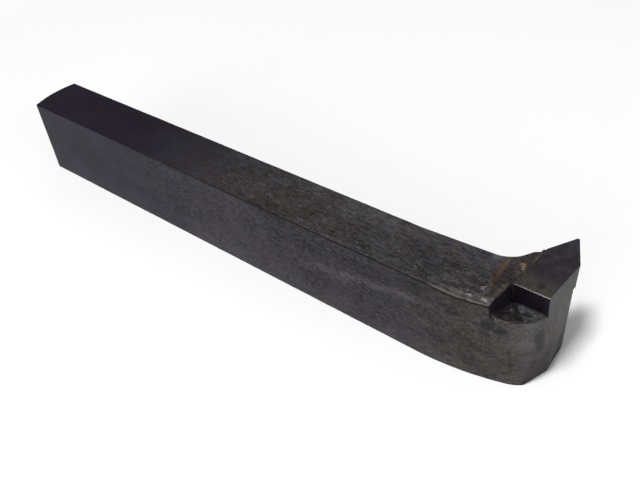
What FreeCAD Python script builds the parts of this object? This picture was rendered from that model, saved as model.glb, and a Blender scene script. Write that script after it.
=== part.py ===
import FreeCAD, Part
import math
import os

# Brazed threading tool for a lathe: a steel holder with a square-cut shank and a head bent to the left,
# and a hard-metal plate with a ground V point, brazed into a seat on top of the head.
# Millimetres. X runs along the shank towards the head, Y across the shank towards the point, Z up.
# The origin is the centre of the straight shank's base, on the face that lies on the tool post.

# Shank
shank_length = 94.2
shank_width = 10.0
shank_height = 16.0
back_crown = 0.8
back_lean = 0.65

# Head, seen from above, where its side walls meet the shank's top level
head_length = 24.2
bend_radius_top = 29.0
corner_radius_top = 8.3
front_turn_top = 0.0
front_setback_top = 0.2
bend_turn = 16.0
neck_flare = 2.9
inner_radius = 4.5

# Head at its foot: the forging spreads into a longer, softer bend, and its front wall is ground back
bend_radius_foot = 55.0
corner_radius_foot = 5.6
front_turn_foot = 14.0
front_setback_foot = 0.25

# Two faces ground on the lower front edge, which meet at a corner of the foot and lean out upwards
foot_corner_setback = 0.76
foot_corner_inset = 7.65
foot_near_turn = 17.0
foot_far_turn = 7.0
foot_face_slope = 0.14
foot_face_height = 6.0

# Hard-metal plate with its ground point
tip_width = 5.7
tip_length = 13.1
tip_thickness = 3.5
point_reach = 14.8
point_angle = 60.0
point_offset = 0.17
nose_flat = 0.36
tip_flank_relief = 8.5
tip_front_relief = 3.3
tip_edge_break = 0.12

# Ground relief of the holder under the point
holder_flank_relief = 6.5
holder_front_setback = 0.3
holder_inner_setback = -0.35
holder_nose_flat = 0.7

# Seat milled into the head. Its open floor is a facet that climbs to the near side and falls to the front,
# both as a rise for each millimetre, from the plate's corner at the seat wall
seat_corner_radius = 1.0
ramp_across = 0.2
ramp_along = 0.0775

# Brazing metal that fills the seat
braze_bed = 0.2
braze_wall = 0.5
braze_recess = 0.25

# Brazing metal that ran out over the open floor as a thin film, and climbed its corner as a steeper facet
film_thickness = 0.15
climb_across = 0.4
climb_along = 0.95

# Lumps of run-out metal behind the plate: their tops from the seat wall, the plate's square end and the
# shank's top level, then the radius of the round cap
run_out_lumps = [
    (-0.35, 2.3, -0.2, 1.0),
    (-0.5, 4.2, -0.15, 1.2),
    (-0.1, 7.2, -0.15, 0.9),
]

# Hollow ground behind the plate, by the round edge of a small wheel
hollow_depth = 0.4
hollow_length = 3.35
hollow_wheel_radius = 11.3
hollow_slope = 0.45
hollow_end_inset = 3.0
hollow_middle_inset = 8.9

# Bevel on the neck's outer top edge, ground by hand and widening towards the seat
bevel_start = 7.5
bevel_width = 3.1
bevel_drop = 0.45
bevel_overreach = 1.5

# Values worked out from the sizes above
back_x = -shank_length / 2
neck_x = shank_length / 2
front_x = neck_x + head_length
near_y = -shank_width / 2
far_y = shank_width / 2
seat_z = shank_height - tip_thickness - braze_bed
tip_base_z = shank_height - tip_thickness
tip_centre_x = front_x - tip_width / 2 - point_offset
tip_back_x = front_x - tip_width
seat_wall_x = tip_back_x - braze_wall
nose_y = point_reach
tip_near_y = nose_y - tip_length
half_point = math.radians(point_angle / 2)
sharp_y = nose_y + nose_flat / 2 / math.tan(half_point)
tip_shoulder_y = sharp_y - (tip_centre_x - tip_back_x) / math.tan(half_point)
overrun = 3.0
tolerance = 0.01

os.makedirs("parts", exist_ok=True)


def vec(x, y, z=0.0):
    return FreeCAD.Vector(x, y, z)


def save(shape, node):
    """Write one sub-part, and say how large it is."""
    box = shape.BoundBox
    print(node, "solids", len(shape.Solids), "valid", shape.isValid(), "volume", round(shape.Volume, 2),
          "box", [round(v, 2) for v in (box.XMin, box.XMax, box.YMin, box.YMax, box.ZMin, box.ZMax)])
    shape.exportStep("parts/" + node + ".step")


def block(x0, x1, y0, y1, z0, z1):
    """Box between two corners."""
    return Part.makeBox(x1 - x0, y1 - y0, z1 - z0, vec(x0, y0, z0))


def point_apex(offset):
    """Height in Y where the two flanks of the point would meet, each moved inwards by offset."""
    return sharp_y - offset / math.sin(half_point)


def flank_x(y, offset, side):
    """X of a point flank at height y: side +1 is the front flank, side -1 the one towards the shank."""
    return tip_centre_x + side * (point_apex(offset) - y) * math.tan(half_point)


def shank():
    """Straight bar, with its sawn back end crowned in plan and leaning out towards the foot."""
    top_x = back_x + back_crown
    corner_near = vec(top_x, near_y, shank_height)
    crown = vec(back_x, 0, shank_height)
    corner_far = vec(top_x, far_y, shank_height)
    ahead_far = vec(neck_x, far_y, shank_height)
    ahead_near = vec(neck_x, near_y, shank_height)
    outline = Part.Wire([
        Part.Arc(corner_near, crown, corner_far).toShape(),
        Part.makeLine(corner_far, ahead_far),
        Part.makeLine(ahead_far, ahead_near),
        Part.makeLine(ahead_near, corner_near),
    ])
    leaning = Part.Face(outline).extrude(vec(-back_lean, 0, -shank_height))
    square = block(back_x - back_lean, neck_x, near_y, far_y, 0, shank_height)
    ahead = block(0, neck_x, near_y, far_y, 0, shank_height)
    return square.common(leaning).fuse(ahead).removeSplitter()


def head_outline(z, bend_radius, corner_radius, front_turn, front_setback, front_offset, inner_offset):
    """Closed plan outline of the head at height z.

    It runs along the outer side: straight, a long bend, a tighter corner, the front wall. Then come the
    front flank, the nose, the inner flank, the hollow of the neck and the flared far side. The offsets say
    how far each flank lies inside the plate's own cutting edge.
    """
    turn = math.radians(bend_turn)
    lean = math.radians(front_turn)
    corner_centre = vec(front_x - front_setback - corner_radius,
                        near_y + bend_radius * (1 - math.cos(turn)) + corner_radius * math.cos(turn), z)

    def corner_point(heading):
        return corner_centre + vec(math.sin(heading), -math.cos(heading)) * corner_radius

    bend_end = corner_point(turn)
    bend_start = vec(bend_end.x - bend_radius * math.sin(turn), near_y, z)
    bend_middle = bend_start + vec(bend_radius * math.sin(turn / 2), bend_radius * (1 - math.cos(turn / 2)))
    front_start = corner_point(math.pi / 2 + lean)
    corner_middle = corner_point((turn + math.pi / 2 + lean) / 2)

    apex_y = point_apex(front_offset)
    wall_lean = math.tan(lean)
    front_end_y = ((tip_centre_x + apex_y * math.tan(half_point) - front_start.x - front_start.y * wall_lean)
                   / (math.tan(half_point) - wall_lean))
    front_end = vec(flank_x(front_end_y, front_offset, 1), front_end_y, z)
    nose_line_y = apex_y - holder_nose_flat / 2 / math.tan(half_point)
    nose_front = vec(flank_x(nose_line_y, front_offset, 1), nose_line_y, z)
    nose_back = vec(flank_x(nose_line_y, inner_offset, -1), nose_line_y, z)

    flare = math.radians(neck_flare)
    neck_far = vec(neck_x, far_y, z)
    elbow_x = ((flank_x(far_y, inner_offset, -1) - math.tan(half_point) * math.tan(flare) * neck_x)
               / (1 - math.tan(half_point) * math.tan(flare)))
    elbow = vec(elbow_x, far_y + (elbow_x - neck_x) * math.tan(flare), z)
    to_neck = vec(-math.cos(flare), -math.sin(flare))
    to_point = vec(math.sin(half_point), math.cos(half_point))
    half_angle = to_neck.getAngle(to_point) / 2
    reach = inner_radius / math.tan(half_angle)
    bisector = (to_neck + to_point).normalize()
    hollow_middle = elbow + bisector * (inner_radius / math.sin(half_angle) - inner_radius)
    hollow_point = elbow + to_point * reach
    hollow_neck = elbow + to_neck * reach
    neck_near = vec(neck_x, near_y, z)

    return Part.Wire([
        Part.makeLine(neck_near, bend_start),
        Part.Arc(bend_start, bend_middle, bend_end).toShape(),
        Part.Arc(bend_end, corner_middle, front_start).toShape(),
        Part.makeLine(front_start, front_end),
        Part.makeLine(front_end, nose_front),
        Part.makeLine(nose_front, nose_back),
        Part.makeLine(nose_back, hollow_point),
        Part.Arc(hollow_point, hollow_middle, hollow_neck).toShape(),
        Part.makeLine(hollow_neck, neck_far),
        Part.makeLine(neck_far, neck_near),
    ])


def head_blank():
    """Bent head before the seat is milled: a ruled body between its foot outline and its top outline."""
    foot_offset = holder_front_setback + shank_height * math.tan(math.radians(holder_flank_relief))
    foot = head_outline(0, bend_radius_foot, corner_radius_foot, front_turn_foot, front_setback_foot,
                        foot_offset, foot_offset)
    top = head_outline(shank_height, bend_radius_top, corner_radius_top, front_turn_top, front_setback_top,
                       holder_front_setback, holder_inner_setback)
    return Part.makeLoft([foot, top], True, True)


def foot_bevel(blank):
    """What the two faces ground on the lower front edge take off: the foot's rim outside a leaning wedge."""
    near, far = near_y - overrun, nose_y + overrun
    behind_x = seat_wall_x - overrun
    corner = vec(front_x - foot_corner_setback, near_y + foot_corner_inset)
    near_x = corner.x - (corner.y - near) * math.tan(math.radians(foot_near_turn))
    far_x = corner.x - (far - corner.y) * math.tan(math.radians(foot_far_turn))
    points = [vec(behind_x, near), vec(near_x, near), corner, vec(far_x, far), vec(behind_x, far)]
    outline = Part.Face(Part.makePolygon(points + points[:1]))
    wedge = outline.extrude(vec(foot_face_slope, 0, 1) * foot_face_height)
    rim = block(seat_wall_x, front_x + overrun, near, far, 0, foot_face_height)
    return blank.common(rim).cut(wedge)


def seat_cutter():
    """Everything above the seat floor and ahead of its back wall, with the cutter's corner radius."""
    r = seat_corner_radius
    y0 = near_y - overrun
    y1 = nose_y + overrun
    corner = r * (1 - math.sqrt(0.5))
    low_wall = vec(seat_wall_x, y0, seat_z + r)
    low_middle = vec(seat_wall_x + corner, y0, seat_z + corner)
    low_floor = vec(seat_wall_x + r, y0, seat_z)
    floor_end = vec(front_x + overrun, y0, seat_z)
    top_end = vec(front_x + overrun, y0, shank_height + overrun)
    top_wall = vec(seat_wall_x, y0, shank_height + overrun)
    profile = Part.Wire([
        Part.Arc(low_wall, low_middle, low_floor).toShape(),
        Part.makeLine(low_floor, floor_end),
        Part.makeLine(floor_end, top_end),
        Part.makeLine(top_end, top_wall),
        Part.makeLine(top_wall, low_wall),
    ])
    return Part.Face(profile).extrude(vec(0, y1 - y0, 0))


def under_facet(across, along, lift=0.0):
    """All that lies under a tilted plane over the open seat floor, which starts at the plate's corner."""
    def facet_point(x, y):
        return vec(x, y, seat_z + lift + across * (tip_near_y - y) - along * (x - seat_wall_x))

    near, ahead = near_y - overrun, front_x + overrun
    corners = [
        facet_point(seat_wall_x, near),
        facet_point(ahead, near),
        facet_point(ahead, tip_near_y),
        facet_point(seat_wall_x, tip_near_y),
    ]
    return Part.Face(Part.makePolygon(corners + corners[:1])).extrude(vec(0, 0, -shank_height))


def hollow_cutter():
    """Shallow pocket behind the plate: a flaring disc, cut off square near the outer side."""
    floor_z = shank_height - hollow_depth
    centre = vec(seat_wall_x - hollow_length + hollow_wheel_radius, near_y + hollow_middle_inset, floor_z)
    flare = hollow_slope / hollow_depth
    floor_radius = hollow_wheel_radius - hollow_slope
    disc = Part.makeCone(floor_radius, floor_radius + flare * overrun, overrun, centre)
    keep = block(seat_wall_x - hollow_length - hollow_slope, seat_wall_x + overrun,
                 near_y + hollow_end_inset, nose_y, floor_z, shank_height + overrun)
    return disc.common(keep)


def bevel_cutter():
    """Wedge above a tilted plane that takes the outer top edge off between the neck and the seat."""
    start = vec(neck_x + bevel_start, near_y, shank_height)
    inner = vec(seat_wall_x + braze_wall, near_y + bevel_width, shank_height)
    outer = inner + vec(0, -bevel_width, -bevel_drop) * bevel_overreach
    return Part.Face(Part.makePolygon([start, inner, outer, start])).extrude(vec(0, 0, overrun))


def holder(blank):
    """One forging: shank, bent head, milled seat with its climbing floor, ground hollow and ground bevel."""
    body = shank().fuse(blank).removeSplitter()
    seat = seat_cutter().cut(under_facet(ramp_across, ramp_along))
    for cutter in (seat, hollow_cutter(), bevel_cutter(), foot_bevel(blank)):
        body = body.cut(cutter)
    return body


def tip_outline(z, drop):
    """Plan of the plate at a depth of drop below its top, drawn in by its ground reliefs."""
    front_in = drop * math.tan(math.radians(tip_front_relief))
    flank_in = drop * math.tan(math.radians(tip_flank_relief))
    wall_x = front_x - front_in
    corner_y = point_apex(flank_in) - (wall_x - tip_centre_x) / math.tan(half_point)
    back_y = point_apex(flank_in) - (tip_centre_x - tip_back_x) / math.tan(half_point)
    nose_line_y = point_apex(flank_in) - nose_flat / 2 / math.tan(half_point)
    points = [
        vec(tip_back_x, tip_near_y, z),
        vec(wall_x, tip_near_y, z),
        vec(wall_x, corner_y, z),
        vec(tip_centre_x + nose_flat / 2, nose_line_y, z),
        vec(tip_centre_x - nose_flat / 2, nose_line_y, z),
        vec(tip_back_x, back_y, z),
    ]
    return Part.makePolygon(points + points[:1])


def carbide_tip():
    """Plate with its ground point, and a fine bevel along the top of its square end."""
    plate = Part.makeLoft([tip_outline(tip_base_z, tip_thickness), tip_outline(shank_height, 0)], True, True)
    end_edge = [e for e in plate.Edges
                if e.BoundBox.ZMin > shank_height - tolerance and e.BoundBox.YMax < tip_near_y + tolerance]
    return plate.makeChamfer(tip_edge_break, end_edge)


def braze_filler(blank, tip, body):
    """Brazing metal under and behind the plate, its film on the open floor and its run-out lumps."""
    bed = block(seat_wall_x, front_x, tip_near_y, nose_y, seat_z, tip_base_z)
    wall = block(seat_wall_x, tip_back_x, tip_near_y, tip_shoulder_y, seat_z, shank_height - braze_recess)
    open_seat = block(seat_wall_x, front_x, near_y, tip_near_y, seat_z, shank_height)
    film = block(seat_wall_x, front_x, near_y, tip_near_y, seat_z, seat_z + film_thickness)
    climbing = under_facet(ramp_across, ramp_along, film_thickness).fuse(under_facet(climb_across, climb_along))
    inside = blank.common(bed.fuse([wall, film, climbing.common(open_seat)]))
    lumps = [Part.makeSphere(radius, vec(seat_wall_x + x, tip_near_y + y, shank_height + top - radius))
             for x, y, top, radius in run_out_lumps]
    return inside.fuse(lumps).cut(body).cut(tip)


blank = head_blank()
tip = carbide_tip()
body = holder(blank)
save(body, "holder")
save(tip, "carbide_tip")
save(braze_filler(blank, tip, body), "braze_filler")
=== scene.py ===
# %% [markdown]
# # A brazed threading tool, dressed for the camera
#
# The tool is a forged steel bar that is bent into a head at one end. A hard-metal plate with a ground V
# point lies in a seat on the head, and brazing metal holds it there. The solids of the frame already have
# the real sizes. This script gives each of them its real surface: softened edges, forging scale, ground
# faces, and brazing metal that ran where it liked. It starts by loading that frame.

# %% Load the frame
import math

import bmesh
import bpy
import numpy as np
from mathutils import Matrix, Vector


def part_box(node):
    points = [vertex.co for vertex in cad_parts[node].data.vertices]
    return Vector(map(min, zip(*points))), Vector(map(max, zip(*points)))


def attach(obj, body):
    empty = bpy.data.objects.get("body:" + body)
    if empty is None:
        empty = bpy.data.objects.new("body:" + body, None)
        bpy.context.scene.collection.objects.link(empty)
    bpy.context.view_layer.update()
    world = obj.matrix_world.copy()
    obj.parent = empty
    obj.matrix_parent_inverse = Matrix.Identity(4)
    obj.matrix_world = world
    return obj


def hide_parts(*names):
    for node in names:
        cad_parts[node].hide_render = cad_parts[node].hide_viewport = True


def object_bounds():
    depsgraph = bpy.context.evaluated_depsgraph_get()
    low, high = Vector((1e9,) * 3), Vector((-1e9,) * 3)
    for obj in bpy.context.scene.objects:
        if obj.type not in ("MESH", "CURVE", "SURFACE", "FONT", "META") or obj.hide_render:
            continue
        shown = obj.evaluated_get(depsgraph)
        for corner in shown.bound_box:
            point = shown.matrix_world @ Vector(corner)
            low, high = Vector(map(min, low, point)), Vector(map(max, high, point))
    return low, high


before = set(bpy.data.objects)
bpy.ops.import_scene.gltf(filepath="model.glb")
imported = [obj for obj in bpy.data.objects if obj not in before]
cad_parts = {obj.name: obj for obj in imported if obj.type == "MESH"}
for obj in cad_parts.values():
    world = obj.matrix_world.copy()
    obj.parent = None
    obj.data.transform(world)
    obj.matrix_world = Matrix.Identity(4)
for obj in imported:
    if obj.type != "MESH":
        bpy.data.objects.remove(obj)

cad_low, cad_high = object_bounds()
print("frame nodes:", sorted(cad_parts), "box:", tuple(cad_low), tuple(cad_high))

# %% [markdown]
# ## Measures
#
# Blender works in metres, and a tool this small is easier to think about in millimetres. So every shape
# below is worked out in millimetres and scaled once, when its mesh is made. The faces that the three solids
# share are read from the frame. The sizes of the bend, the reliefs and the seat are the smith's and the
# grinder's own, and they are named here once.

# %% Measures from the frame
MM = 0.001


def box_in_mm(node):
    """Lowest and highest corner of a node of the frame, in millimetres."""
    low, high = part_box(node)
    return np.array(low) / MM, np.array(high) / MM


holder_low, holder_high = box_in_mm("holder")
tip_low, tip_high = box_in_mm("carbide_tip")
near_y = holder_low[1]
far_y = -near_y
top_z = holder_high[2]
front_x = tip_high[0]
tip_back_x, tip_near_y, tip_base_z = tip_low
nose_y = tip_high[1]
print("front", front_x, "nose", nose_y, "top", top_z, "plate from", tip_low.round(2))

# %% Sizes of the forging and of its ground faces
neck_x = 47.1
braze_bed = 0.2
braze_wall = 0.5
seat_z = tip_base_z - braze_bed
seat_wall_x = tip_back_x - braze_wall

back_crown = 0.8
back_lean = 0.65
back_x = holder_low[0] + back_lean

bend_radius = (55.0, 29.0)
corner_radius = (5.6, 8.3)
front_turn = (math.radians(14), 0.0)
front_setback = (0.25, 0.2)
bend_turn = math.radians(16)
neck_flare = math.tan(math.radians(2.9))
inner_radius = 4.5

half_point = math.radians(30)
nose_flat = 0.36
holder_nose_flat = 0.7
point_offset = 0.17
front_offset_top = 0.3
inner_offset_top = -0.35
offset_foot = front_offset_top + top_z * math.tan(math.radians(6.5))
tip_flank_relief = math.tan(math.radians(8.5))
tip_front_relief = math.tan(math.radians(3.3))
tip_centre_x = (front_x + tip_back_x) / 2 - point_offset
sharp_y = nose_y + nose_flat / 2 / math.tan(half_point)
shoulder_y = sharp_y - (tip_centre_x - tip_back_x) / math.tan(half_point)
print("seat wall at", round(seat_wall_x, 2), "seat floor at", round(seat_z, 2))

# %% [markdown]
# ## Noise without a texture
#
# Forged and ground metal is never quite even. To push real mesh points about, numpy needs noise of its own:
# a random value for each cell corner of a lattice, blended smoothly in between, and a few such layers, each
# half the size of the one before. The random values come from mixing the bits of the cell numbers, so every
# run gives the same metal.

# %% Lattice noise
BITS = 0xFFFFFFFF
CELL_FACTORS = (374761393, 668265263, 362437)
SEED_FACTOR = 974711
MIXING_FACTOR = 1274126177


def cell_value(cell, seed):
    """Value from -1 to 1 for each whole cell corner: its three numbers and the seed, well mixed."""
    bits = (cell @ np.array(CELL_FACTORS) + seed * SEED_FACTOR) & BITS
    bits = ((bits ^ (bits >> 13)) * MIXING_FACTOR) & BITS
    return ((bits ^ (bits >> 16)) & 0xFFFF) / 32767.5 - 1


def lump_noise(points, size, seed):
    """Smooth noise with lumps of that size: the eight corner values round a point, smooth-stepped between."""
    scaled = points / size
    cell = np.floor(scaled).astype(np.int64)
    part = scaled - cell
    part = part * part * (3 - 2 * part)
    total = np.zeros(points.shape[:-1])
    for corner in np.ndindex(2, 2, 2):
        weight = np.prod(np.where(corner, part, 1 - part), axis=-1)
        total += weight * cell_value(cell + np.array(corner), seed)
    return total


def rough_noise(points, size, seed, layers=4):
    """Layers of lump noise added up, each half the size and half the strength of the last."""
    return sum(lump_noise(points, size / 2 ** n, seed + n) / 2 ** n for n in range(layers)) / 1.5


def smooth_step(low, high, value):
    """0 below low, 1 above high, and an S-shaped rise between them."""
    t = np.clip((value - low) / (high - low), 0, 1)
    return t * t * (3 - 2 * t)


def smooth_min(a, b, width):
    """The smaller of two values, with the change from one to the other rounded over that width."""
    share = np.clip(0.5 + 0.5 * (b - a) / width, 0, 1)
    return b + (a - b) * share - width * share * (1 - share)


probe = np.random.default_rng(3).uniform(-50, 50, (4000, 3))
print("noise spread:", rough_noise(probe, 3.0, 1).std().round(3))

# %% [markdown]
# ## Blocks with six mapped faces
#
# Every piece of this tool is a block that has been bent, tapered or ground. Subdividing a cube and pulling
# its corners about would do, but a map says it better: a function takes three numbers, along, across and
# up, and gives a point of the metal. A face of the block is that map with one of the three held still, so
# it is a grid, and neighbouring faces share their border points exactly. Merging those borders closes the
# skin.

# %% From maps to meshes
def graded(count, fine=0.6):
    """Numbers from 0 to 1 that lie closer together near both ends, where the edges of a block are."""
    t = np.linspace(0, 1, count)
    return t - fine * np.sin(2 * np.pi * t) / (2 * np.pi)


def face_grid(block_map, along, across, up):
    """Grid of points of a block map where one of the three is a single number."""
    a, c, u = np.meshgrid(np.atleast_1d(along), np.atleast_1d(across), np.atleast_1d(up), indexing="ij")
    points = np.stack(block_map(a, c, u), axis=-1)
    return points.reshape([n for n in points.shape[:3] if n > 1] + [3])


def six_faces(block_map, along, across, up):
    """Grids of a block's six faces: each of its numbers held at its first and then at its last value."""
    sides = [face_grid(block_map, along, c, up) for c in (across[0], across[-1])]
    covers = [face_grid(block_map, along, across, u) for u in (up[0], up[-1])]
    ends = [face_grid(block_map, a, across, up) for a in (along[0], along[-1])]
    return sides + covers + ends


def grid_corners(rows, columns, first):
    """Corner numbers of the quads of a grid whose points are numbered row by row from first."""
    corner = first + np.arange(rows - 1)[:, None] * columns + np.arange(columns - 1)
    return np.stack([corner, corner + 1, corner + columns + 1, corner + columns], axis=-1).reshape(-1, 4)


def skin_mesh(name, grids, merge=2e-6):
    """One closed mesh from grids in millimetres: borders that meet are merged, faces turned outwards."""
    first = np.cumsum([0] + [g.shape[0] * g.shape[1] for g in grids])
    points = np.concatenate([g.reshape(-1, 3) for g in grids]) * MM
    corners = np.concatenate([grid_corners(*g.shape[:2], n) for g, n in zip(grids, first)])
    mesh = bpy.data.meshes.new(name)
    mesh.vertices.add(len(points))
    mesh.vertices.foreach_set("co", points.astype(np.float32).ravel())
    mesh.loops.add(corners.size)
    mesh.loops.foreach_set("vertex_index", corners.ravel().astype(np.int32))
    mesh.polygons.add(len(corners))
    mesh.polygons.foreach_set("loop_start", np.arange(0, corners.size, 4, dtype=np.int32))
    mesh.update(calc_edges=True)
    work = bmesh.new()
    work.from_mesh(mesh)
    bmesh.ops.remove_doubles(work, verts=work.verts, dist=merge)
    bmesh.ops.recalc_face_normals(work, faces=work.faces)
    open_edges = sum(1 for edge in work.edges if len(edge.link_faces) != 2)
    work.to_mesh(mesh)
    work.free()
    mesh.update()
    print(name, "vertices", len(mesh.vertices), "faces", len(mesh.polygons), "open edges", open_edges)
    return mesh

# %% Points, edges and wear of a mesh
def mesh_points(mesh):
    """All points of a mesh in millimetres."""
    points = np.empty(len(mesh.vertices) * 3, np.float32)
    mesh.vertices.foreach_get("co", points)
    return points.reshape(-1, 3).astype(float) / MM


def set_points(mesh, points):
    """Puts points in millimetres back into the mesh."""
    mesh.vertices.foreach_set("co", (points * MM).astype(np.float32).ravel())
    mesh.update()


def mesh_normals(mesh):
    """Unit normal at each point."""
    normals = np.empty(len(mesh.vertices) * 3, np.float32)
    mesh.vertex_normals.foreach_get("vector", normals)
    return normals.reshape(-1, 3).astype(float)


def mesh_edges(mesh):
    """The two point numbers of each edge."""
    pairs = np.empty(len(mesh.edges) * 2, np.int32)
    mesh.edges.foreach_get("vertices", pairs)
    return pairs.reshape(-1, 2)


def spread(values, pairs, keep):
    """Each point takes the largest of its own value and keep times its neighbours' values."""
    wider = values.copy()
    np.maximum.at(wider, pairs[:, 0], keep * values[pairs[:, 1]])
    np.maximum.at(wider, pairs[:, 1], keep * values[pairs[:, 0]])
    return wider


def crease_weight(mesh, pairs, angle=25.0, steps=3, keep=0.75):
    """1 on each edge that turns more than angle degrees, fading over a few steps of the grid to 0."""
    face_normal = np.empty(len(mesh.polygons) * 3, np.float32)
    mesh.polygons.foreach_get("normal", face_normal)
    loop_edge = np.empty(len(mesh.loops), np.int32)
    mesh.loops.foreach_get("edge_index", loop_edge)
    loop_total = np.empty(len(mesh.polygons), np.int32)
    mesh.polygons.foreach_get("loop_total", loop_total)
    loop_face = np.repeat(np.arange(len(mesh.polygons)), loop_total)
    order = np.argsort(loop_edge, kind="stable")
    sides = face_normal.reshape(-1, 3)[loop_face[order]].reshape(-1, 2, 3)
    sharp = np.sum(sides[:, 0] * sides[:, 1], axis=1) < math.cos(math.radians(angle))
    weight = np.zeros(len(mesh.vertices))
    weight[pairs[sharp].ravel()] = 1
    for _ in range(steps):
        weight = spread(weight, pairs, keep)
    return weight


def rub(points, pairs, share, rounds):
    """Wears edges down: each round moves a point towards the mean of its neighbours by its own share."""
    count = np.bincount(pairs.ravel(), minlength=len(points))[:, None]
    for _ in range(rounds):
        total = np.stack([np.bincount(pairs[:, 0], points[pairs[:, 1], n], len(points))
                          + np.bincount(pairs[:, 1], points[pairs[:, 0], n], len(points))
                          for n in range(3)], axis=1)
        points = points + share[:, None] * (total / count - points)
    return points


def paint_value(mesh, name, values):
    """Stores one number for each point, for the materials to read by name."""
    mesh.attributes.new(name, "FLOAT", "POINT").data.foreach_set("value", values.astype(np.float32))


# %% [markdown]
# ## The forged holder
#
# The holder is one forging. Its head is drawn twice, at the foot and at the top level, with the same arcs
# and lines but other sizes, and at every height between the two the sizes are mixed. So a wall point is
# found in closed form: the outer side is straight, then lies on the long arc of the bend, then on the
# tighter arc of the corner. The inner side runs out along a slightly flared line, turns through the hollow
# of the neck and follows the ground flank of the point.

# %% Outlines of the head at any height
def mixed(sizes, z):
    """A size of the head at height z, from its foot size and its top size."""
    foot, top = sizes
    return foot + (top - foot) * z / top_z


def outer_arcs(z):
    """Bend arc and corner arc of the outer side: x, y and radius of each, then the front wall's turn."""
    bend, corner = mixed(bend_radius, z), mixed(corner_radius, z)
    corner_x = front_x - mixed(front_setback, z) - corner
    corner_y = near_y + bend * (1 - math.cos(bend_turn)) + corner * math.cos(bend_turn)
    bend_x = corner_x + (corner - bend) * math.sin(bend_turn)
    return bend_x, near_y + bend, bend, corner_x, corner_y, corner, mixed(front_turn, z)


def outer_y(x, z):
    """Y of the outer side: the circle equation of whichever arc lies at that x."""
    bend_x, bend_y, bend, corner_x, corner_y, corner, _ = outer_arcs(z)
    reach = bend * math.sin(bend_turn)
    on_bend = bend_y - np.sqrt(bend ** 2 - np.clip(x - bend_x, 0, reach) ** 2)
    on_corner = corner_y - np.sqrt(np.maximum(corner ** 2 - (x - corner_x) ** 2, 0))
    return np.where(x - bend_x > reach, on_corner, on_bend)


def inner_lines(z):
    """Apex of the inner flank at height z, and the centre of the arc that joins it to the neck's line."""
    offset = mixed((offset_foot, inner_offset_top), z)
    apex_y = sharp_y - offset / math.sin(half_point)
    slope = math.tan(half_point)
    flank_at_neck = tip_centre_x - (apex_y - far_y) * slope
    elbow_x = (flank_at_neck - slope * neck_flare * neck_x) / (1 - slope * neck_flare)
    elbow_y = far_y + (elbow_x - neck_x) * neck_flare
    neck_length = math.hypot(1, neck_flare)
    to_neck = np.array([-1, -neck_flare]) / neck_length
    to_point = np.array([math.sin(half_point), math.cos(half_point)])
    half_angle = math.acos(float(to_neck @ to_point)) / 2
    bisector = (to_neck + to_point) / np.linalg.norm(to_neck + to_point)
    away = inner_radius / math.sin(half_angle)
    reach = inner_radius / math.tan(half_angle)
    neck_end_x = elbow_x + to_neck[0] * reach
    flank_start_x = elbow_x + to_point[0] * reach
    return apex_y, elbow_x + bisector[0] * away, elbow_y + bisector[1] * away, neck_end_x, flank_start_x


def inner_y(x, z):
    """Y of the inner side: flared line, then the arc of the neck's hollow, then the flank of the point."""
    apex_y, arc_x, arc_y, neck_end_x, flank_start_x = inner_lines(z)
    on_neck = far_y + np.maximum(x - neck_x, 0) * neck_flare
    on_arc = arc_y - np.sqrt(np.maximum(inner_radius ** 2 - (x - arc_x) ** 2, 0))
    on_flank = apex_y - (tip_centre_x - x) / math.tan(half_point)
    return np.where(x < neck_end_x, on_neck, np.where(x < flank_start_x, on_arc, on_flank))


check_z = np.array([0.0, seat_z, top_z])
print("outer side at the seat wall:", outer_y(seat_wall_x, check_z).round(2))
print("inner side at the seat wall:", inner_y(seat_wall_x, check_z).round(2))

# %% [markdown]
# ## What the grinder took off
#
# Three places on the holder were ground after forging. A small wheel cut a shallow hollow behind the plate,
# with a sloping round wall. The outer top edge of the neck was bevelled by hand, a little more towards the
# seat. And the lower front edge was taken back on the wheel in two strokes, which leave two faces that
# meet at a corner. Each is a plain function of place, so the top skin can simply be lowered, or the wall
# drawn in, by its value.

# %% Ground hollow, ground bevel, ground foot
hollow_depth = 0.4
hollow_wheel = 11.3
hollow_x = seat_wall_x - 3.35 + hollow_wheel
hollow_y = near_y + 8.9
hollow_end_y = near_y + 3.0
hollow_wall = 0.75
lip_width = 0.9
lip_share = 0.9
bevel_start_x = neck_x + 7.5
bevel_width = 3.1
bevel_slope = 0.45 / bevel_width


def hollow_at(x, y):
    """Depth of the ground hollow: full inside the wheel's circle and sloping off over its wall, with a low
    lip of run-out metal left along the far edge."""
    into = hollow_wheel - np.hypot(x - hollow_x, y - hollow_y)
    lip = lip_share * smooth_step(-lip_width, -0.1, y - inner_y(x, top_z)) * (1 - smooth_step(64.3, 65.0, x))
    depth = hollow_depth * smooth_step(0, hollow_wall, into) * smooth_step(0, 0.25, y - hollow_end_y)
    return depth * (1 - lip)


def bevel_reach(x, y):
    """How far a point lies outside the inner line of the bevel, along Y. Negative where it wasn't ground."""
    line_y = near_y + (x - bevel_start_x) * bevel_width / (seat_wall_x + braze_wall - bevel_start_x)
    return line_y - y


def top_at(x, y):
    """Height of the top skin: the forged level less the hollow and the bevel."""
    ragged = 0.35 * rough_noise(np.stack([x, y, y * 0], axis=-1), 0.9, 41, 3)
    ground = np.maximum(bevel_reach(x, y) + ragged * smooth_step(0, 3, x - bevel_start_x), 0)
    return top_z - hollow_at(x, y) - bevel_slope * ground


ramp_across = 0.2
ramp_along = 0.0775

foot_corner_x = front_x - 0.76
foot_corner_y = near_y + 7.65
foot_near_turn = math.tan(math.radians(17))
foot_far_turn = math.tan(math.radians(7))
foot_face_slope = 0.14
foot_round = 0.12


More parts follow.
